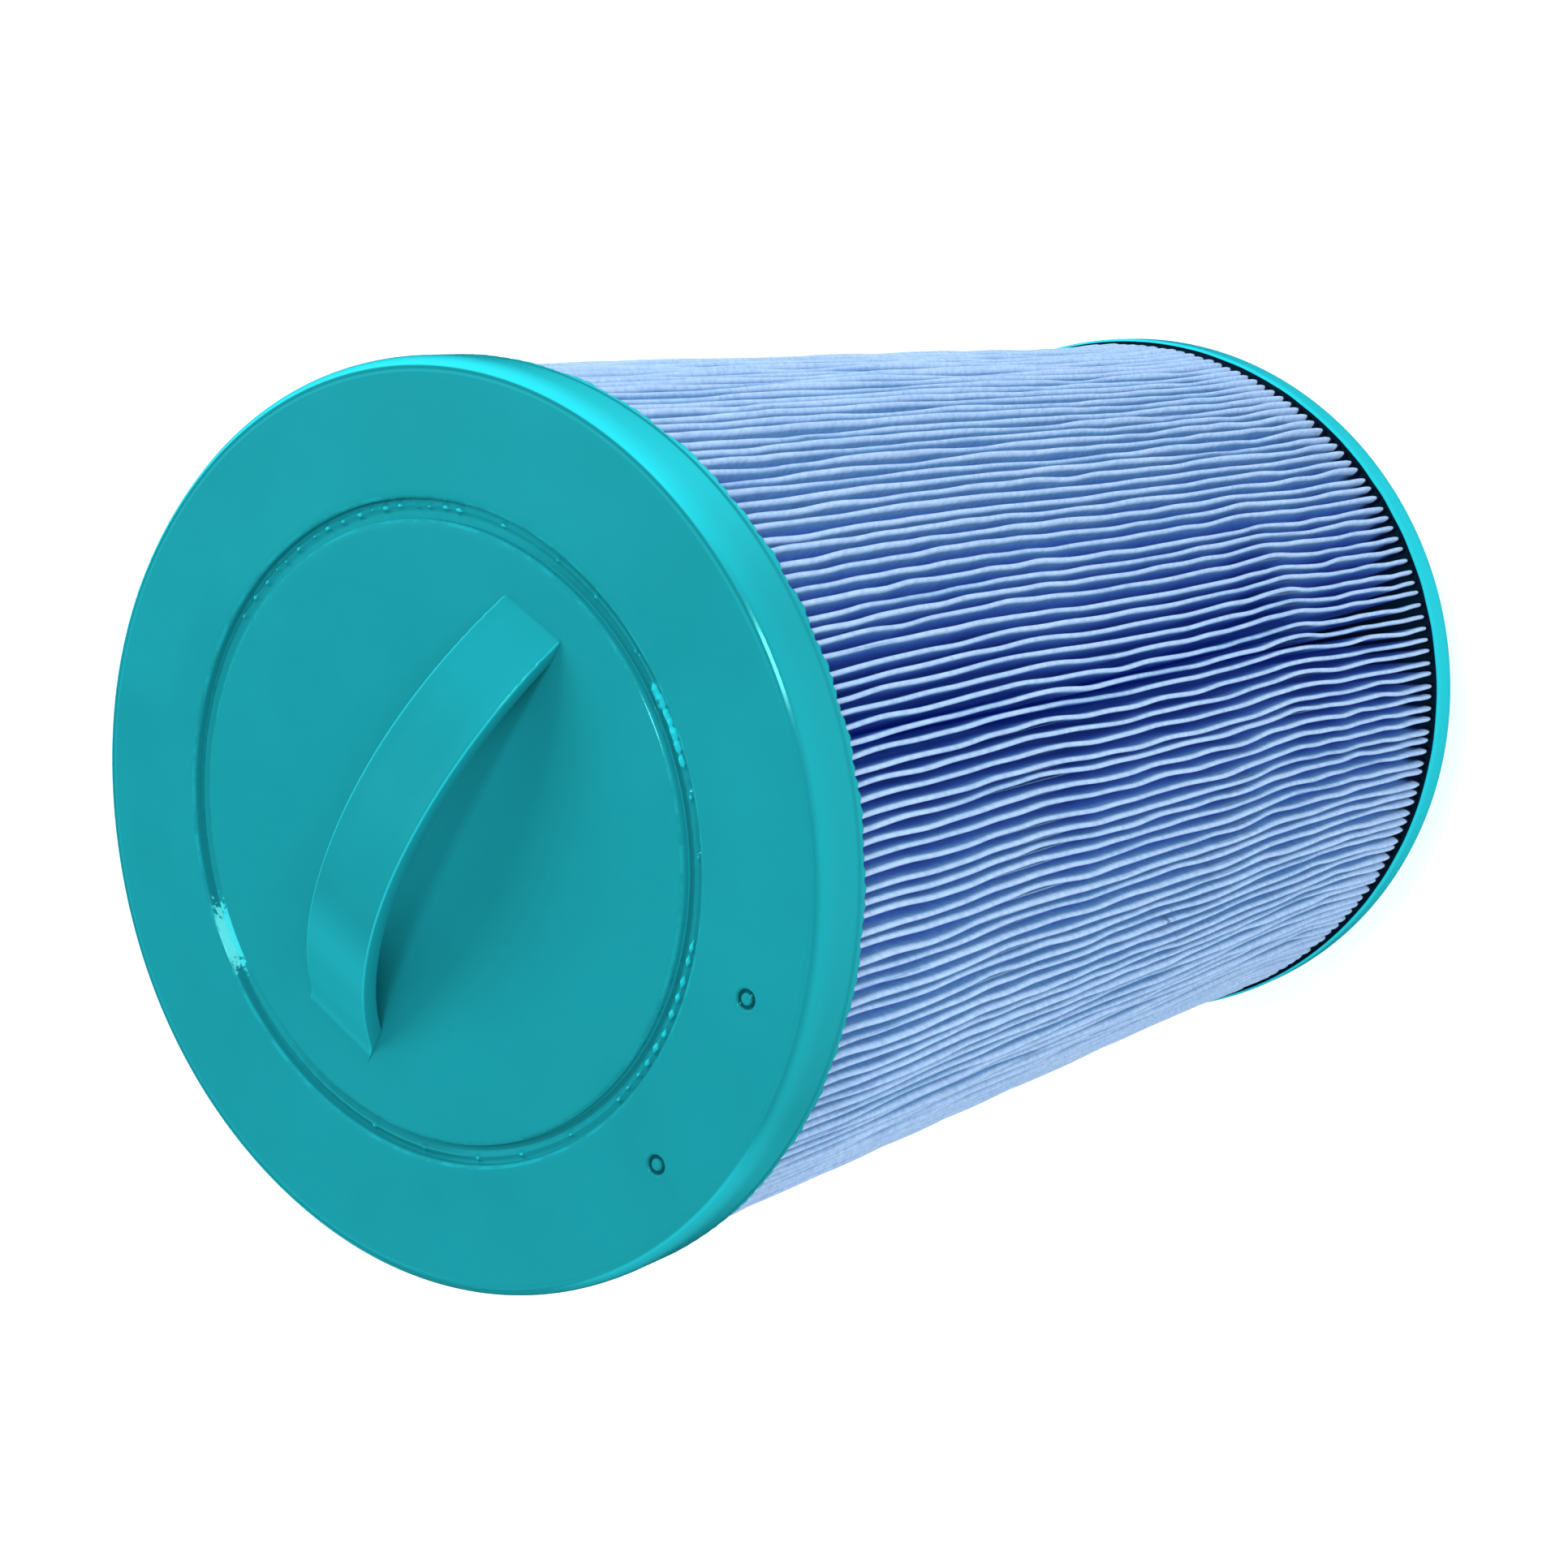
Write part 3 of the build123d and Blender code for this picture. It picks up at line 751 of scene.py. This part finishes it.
def ramp(tree, source, stops):
    made = tree.nodes.new("ShaderNodeValToRGB")
    elements = made.color_ramp.elements
    while len(elements) < len(stops):
        elements.new(0.5)
    for element, (place, colour) in zip(elements, stops):
        element.position = place
        element.color = (*colour, 1.0)
    tree.links.new(source, made.inputs["Fac"])
    return made.outputs["Color"]


def between(tree, source, start, end, low=0.0, high=1.0):
    """Runs smoothly from low to high as the source goes from start to end."""
    made = node(tree, "ShaderNodeMapRange", interpolation_type="SMOOTHSTEP")
    for key, value in (("From Min", start), ("From Max", end), ("To Min", low), ("To Max", high)):
        made.inputs[key].default_value = value
    tree.links.new(source, made.inputs["Value"])
    return made.outputs["Result"]


def calculate(tree, operation, *sources):
    made = node(tree, "ShaderNodeMath", operation=operation)
    for place, source in enumerate(sources):
        tree.links.new(source, made.inputs[place])
    return made.outputs["Value"]


def times(tree, first, second):
    return calculate(tree, "MULTIPLY", first, second)


def mix(tree, share, first, second, blend="MIX"):
    """A colour mix. share, first and second are sockets or plain values."""
    made = node(tree, "ShaderNodeMix", data_type="RGBA", blend_type=blend)
    # a mix node has one A, one B and one Result for each kind of data, and the colour's is third
    colour_inputs = {key: [i for i in made.inputs if i.name == key][2] for key in ("A", "B")}
    for socket, value in (
        (made.inputs["Factor"], share),
        (colour_inputs["A"], first),
        (colour_inputs["B"], second),
    ):
        if isinstance(value, (int, float)):
            socket.default_value = value
        elif isinstance(value, tuple):
            socket.default_value = (*value, 1.0)
        else:
            tree.links.new(value, socket)
    return [o for o in made.outputs if o.name == "Result"][2]


def sideways(tree):
    """How far the surface faces along Y, either way."""
    split = node(tree, "ShaderNodeSeparateXYZ")
    normal = node(tree, "ShaderNodeNewGeometry").outputs["Normal"]
    tree.links.new(normal, split.inputs["Vector"])
    return calculate(tree, "ABSOLUTE", split.outputs["Y"])


def cylinder_place(tree):
    """Height and distance from the axis, and the place along X and Y."""
    split = node(tree, "ShaderNodeSeparateXYZ")
    tree.links.new(object_place(tree), split.inputs["Vector"])
    flat = node(tree, "ShaderNodeCombineXYZ")
    tree.links.new(split.outputs["X"], flat.inputs["X"])
    tree.links.new(split.outputs["Y"], flat.inputs["Y"])
    length = node(tree, "ShaderNodeVectorMath", operation="LENGTH")
    tree.links.new(flat.outputs["Vector"], length.inputs[0])
    return split.outputs["Z"], length.outputs["Value"], split.outputs["X"], split.outputs["Y"]


def distance_from(tree, azimuth, radius, height):
    """How far the surface is from a spot, given in degrees round the axis and in metres."""
    turn = math.radians(azimuth)
    away = node(tree, "ShaderNodeVectorMath", operation="DISTANCE")
    tree.links.new(object_place(tree), away.inputs[0])
    away.inputs[1].default_value = (radius * math.cos(turn), radius * math.sin(turn), height)
    return away.outputs["Value"]


def add_bump(tree, height, strength, distance, under=None):
    bump = node(tree, "ShaderNodeBump", Strength=strength, Distance=distance)
    tree.links.new(height, bump.inputs["Height"])
    if under:
        tree.links.new(under, bump.inputs["Normal"])
    return bump.outputs["Normal"]


def scaled(colour, share):
    return tuple(min(c * share, 1.0) for c in colour)


def measures(tree):
    """What a zone's limits can measure: the socket, where its 0 is, and its unit."""
    height, radius, x, y = cylinder_place(tree)
    # distance from the painted glint's middle, with a ragged edge
    ragged = noise_node(tree, 1100.0, 3.0, 0.6)
    ragged = between(tree, ragged, 0.3, 0.7, -GLINT_PAINT_RAGGED, GLINT_PAINT_RAGGED)
    patch = calculate(tree, "ADD", distance_from(tree, GLINT_PAINT_AZIMUTH, GLINT_PAINT_PLACE, TOP), ragged)
    return {
        "face": (height, TOP, MM),
        "lip": (height, REAR, MM),
        "seat": (height, BASE + BOTTOM_FLOOR, MM),
        "radius": (radius, 0, MM),
        "disc": (radius, PLATE_RADIUS, MM),
        "bead": (radius, BEAD_MIDDLE, MM),
        "groove": (radius, GROOVE_RADIUS, MM),
        "mark": (radius, MARK_PLACE, MM),
        "rim": (radius, CAP_RADIUS, MM),
        "x": (x, 0, MM),
        "y": (y, 0, MM),
        "patch": (patch, 0, MM),
        "breakup": (noise_node(tree, 220.0, 4.0, 0.6), 0, 1),
        "facing": (sideways(tree), 0, 1),
    }


def add_painted_shading(tree, tint, colour):
    """Lays every zone of the teal resin, its painted light and shade, over the tint."""
    measured = measures(tree)
    shares = {}
    for label, limits, shade in PAINTED_SHADING_ZONES:
        zone = None
        for limit in limits:
            if limit not in shares:
                measure, start, full = limit
                source, origin, unit = measured[measure]
                shares[limit] = between(tree, source, origin + start * unit, origin + full * unit)
            zone = times(tree, zone, shares[limit]) if zone else shares[limit]
        tint = mix(tree, zone, tint, shade if isinstance(shade, tuple) else scaled(colour, shade))
        tint.node.label = label
    return tint


def set_gloss(shader, rough, shine):
    shader.inputs["Roughness"].default_value = rough
    shader.inputs["Specular IOR Level"].default_value = shine


def resin_material(name, colour, gloss, zones=False):
    """Cast or moulded resin: faint mottling, fine dust that dulls the gloss, and with zones the
    painted light and shade.
    """
    mat, tree, shader = material(name)
    rough = gloss[0]
    set_gloss(shader, *gloss)
    cloudy = noise_node(tree, 30.0, 5.0, 0.55)
    tint = ramp(tree, cloudy, [(0.34, scaled(colour, 0.96)), (0.66, scaled(colour, 1.04))])
    if zones:
        tint = add_painted_shading(tree, tint, colour)
        shader.inputs["Specular Tint"].default_value = RESIN_GLOSS_TINT
    tree.links.new(tint, shader.inputs["Base Color"])
    dust = noise_node(tree, 900.0, 3.0, 0.6)
    dulled = between(tree, dust, 0.35, 0.70, rough * 0.9, rough * 1.25)
    tree.links.new(dulled, shader.inputs["Roughness"])
    coarse = add_bump(tree, noise_node(tree, 95.0, 3.0, 0.5), 0.05, 0.6 * MM)
    fine = add_bump(tree, dust, 0.04, 0.12 * MM, coarse)
    tree.links.new(fine, shader.inputs["Normal"])
    return mat


def fabric_material():
    """Non-woven filter fabric: pale fold tips and deeper blue walls, painted light and shade by
    depth, and fine felted fibres.
    """
    mat, tree, shader = material("filter_fabric")
    height, radius, _, _ = cylinder_place(tree)
    # painted light and shade by depth in the folds, paler towards the tips
    outwards = between(tree, radius, FOLD_RADIUS - 3.4 * MM, FOLD_RADIUS - 0.55 * MM)
    stops = [(0.0, GAP_BLUE), (0.45, WALL_BLUE), (0.8, SHOULDER_BLUE), (1.0, TIP_BLUE)]
    colour = ramp(tree, outwards, stops)
    # painted light: a brighter blue deep down between the folds
    deepest = between(tree, radius, FOLD_RADIUS - 7 * MM, FOLD_RADIUS - 16 * MM)
    colour = mix(tree, deepest, colour, DEEP_BLUE)
    # fibres in clumps, and faint clouds: the noise's settings, its range and the darkest tint
    for scale, detail, rough, dark, light, tint in (
        (750.0, 5.0, 0.6, 0.34, 0.62, (0.80, 0.81, 0.84)),
        (45.0, 3.0, 0.5, 0.35, 0.65, (0.90, 0.93, 0.96)),
    ):
        noise = noise_node(tree, scale, detail, rough)
        spots = ramp(tree, noise, [(dark, tint), (light, (1.0, 1.0, 1.0))])
        colour = mix(tree, 1.0, colour, spots, "MULTIPLY")
    # the folds run into shadow where they meet the lower cap
    low_end = between(tree, height, FOOT_TOP + 6.5 * MM, FOOT_TOP + 0.8 * MM)
    low_gap = times(tree, low_end, between(tree, outwards, 0.95, 0.55))
    colour = mix(tree, low_gap, colour, END_BLUE)
    seat = between(tree, height, FOOT_TOP + 1.1 * MM, FOOT_TOP + 0.7 * MM)
    colour = mix(tree, seat, colour, END_BLUE)
    # one small grey smudge across a few folds
    away = distance_from(tree, SMUDGE_AZIMUTH, FOLD_RADIUS, SMUDGE_HEIGHT)
    stain = between(tree, away, 3.4 * MM, 0.8 * MM, 0.0, 0.75)
    stain = times(tree, stain, between(tree, noise_node(tree, 600.0, 2.0, 0.5), 0.38, 0.58))
    colour = mix(tree, stain, colour, SMUDGE_COLOUR)
    tree.links.new(colour, shader.inputs["Base Color"])
    # painted light: a faint blue glow deep between the folds, in place of light coming through the
    # thin fabric
    shader.inputs["Emission Color"].default_value = DEEP_GLOW_COLOUR
    through = between(tree, outwards, 0.75, 0.15, 0.0, DEEP_GLOW_STRENGTH)
    tree.links.new(through, shader.inputs["Emission Strength"])
    felt = add_bump(tree, noise_node(tree, 2600.0, 6.0, 0.7), 0.3, 0.1 * MM)
    tree.links.new(felt, shader.inputs["Normal"])
    set_gloss(shader, *MATTE)
    return mat


# ---------------------------------------------------------------- stage and lights
def add_floor():
    verts = [(x * FLOOR_HALF, y * FLOOR_HALF, 0) for x, y in ((-1, -1), (1, -1), (1, 1), (-1, 1))]
    floor = new_mesh("floor", verts, [(0, 1, 2, 3)], smooth=False)
    mat, _, shader = material("floor_pale")
    shader.inputs["Base Color"].default_value = FLOOR_GREY
    shader.inputs["Emission Color"].default_value = (1, 1, 1, 1)
    shader.inputs["Emission Strength"].default_value = FLOOR_GLOW
    set_gloss(shader, *MATTE)
    floor.data.materials.append(mat)
    floor.visible_glossy = False


def add_light(name, azimuth, elevation, away, wide, tall, power, mirrored):
    """A soft box in the given direction from the cartridge's upper part."""
    turn, lift = math.radians(azimuth), math.radians(elevation)
    out = Vector((math.cos(lift) * math.cos(turn), math.cos(lift) * math.sin(turn), math.sin(lift)))
    data = bpy.data.lights.new(name, "AREA")
    data.shape = "RECTANGLE"
    data.size = wide
    data.size_y = tall
    data.energy = power
    light = bpy.data.objects.new(name, data)
    light.location = LIGHT_AIM + out * away
    light.rotation_euler = (-out).to_track_quat("-Z", "Y").to_euler()
    light.visible_glossy = mirrored
    bpy.context.collection.objects.link(light)


def add_lights():
    world = bpy.data.worlds.new("studio")
    world.use_nodes = True
    back = world.node_tree.nodes["Background"]
    back.inputs["Color"].default_value = (1, 1, 1, 1)
    back.inputs["Strength"].default_value = WORLD_STRENGTH
    world.cycles_visibility.glossy = False
    bpy.context.scene.world = world
    for light in LIGHTS:
        add_light(*light)


# ---------------------------------------------------------------- the scene
def dress(piece, mat):
    piece.data.materials.clear()
    piece.data.materials.append(mat)
    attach(piece, "root")
    return piece


teal_cast = resin_material("teal_cast", TEAL, TEAL_GLOSS, zones=True)
teal_moulded = resin_material("teal_moulded", scaled(TEAL, MOULDED_SHADE), TEAL_GLOSS, zones=True)
white_moulded = resin_material("white_moulded", WHITE_PLASTIC, WHITE_GLOSS)
glue = resin_material("seam_glue", GLUE, GLUE_GLOSS)
fabric = fabric_material()

pleats = dress(make_pleats(), fabric)
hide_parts("pleated_media")
cast_ring = dress(make_top_cap(), teal_cast)
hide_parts("top_end_cap")
handle_moulding = dress(make_handle_plate(), teal_moulded)
handle_moulding.name = "handle_moulding"
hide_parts("handle_plate")
cast_foot = dress(make_foot(), teal_cast)
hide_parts("bottom_end_cap")

for name, mat in (
    ("threaded_adapter", white_moulded),
    ("core_upper", white_moulded),
    ("core_lower", white_moulded),
    ("side_seam_bead", glue),
):
    cad_piece = frame["nodes"][name]
    for place in range(len(cad_piece.material_slots)):
        cad_piece.material_slots[place].material = mat

add_camera()
add_lights()
add_floor()
bpy.context.scene.view_settings.view_transform = "Standard"
